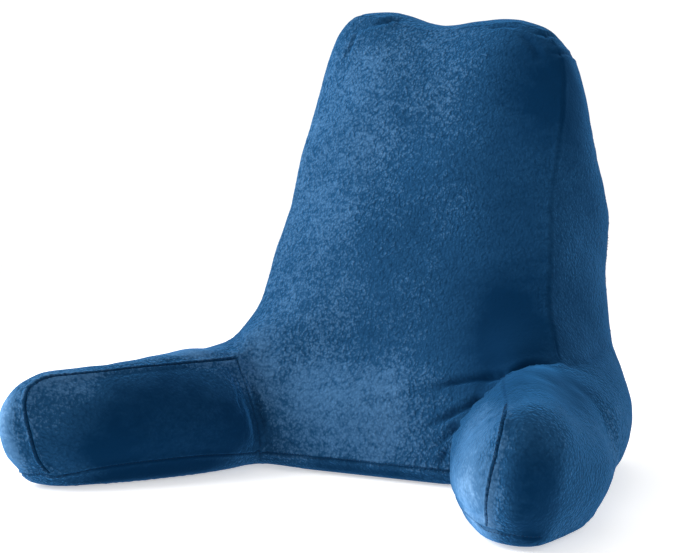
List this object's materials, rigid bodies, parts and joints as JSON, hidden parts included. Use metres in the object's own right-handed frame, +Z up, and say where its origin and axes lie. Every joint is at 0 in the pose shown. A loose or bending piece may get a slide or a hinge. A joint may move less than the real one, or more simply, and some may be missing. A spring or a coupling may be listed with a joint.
{
  "type": "reading pillow with arms",
  "caption": "Stuffed plush cushion that stands by itself: a tall backrest whose front leans back, with padded arms that splay forward beside the seat.",
  "frame": {"origin": "middle of the cushion's outline on the surface it stands on", "axes": "+X across, to the right as seen from the front; the arms point to -Y; +Z up"},
  "size_m": [0.7804, 0.6324, 0.6467],
  "materials": {
    "velour": "short velour pile with a soft sheen"
  },
  "bodies": {
    "root": {"cushion": "velour"}
  },
  "joints": []
}
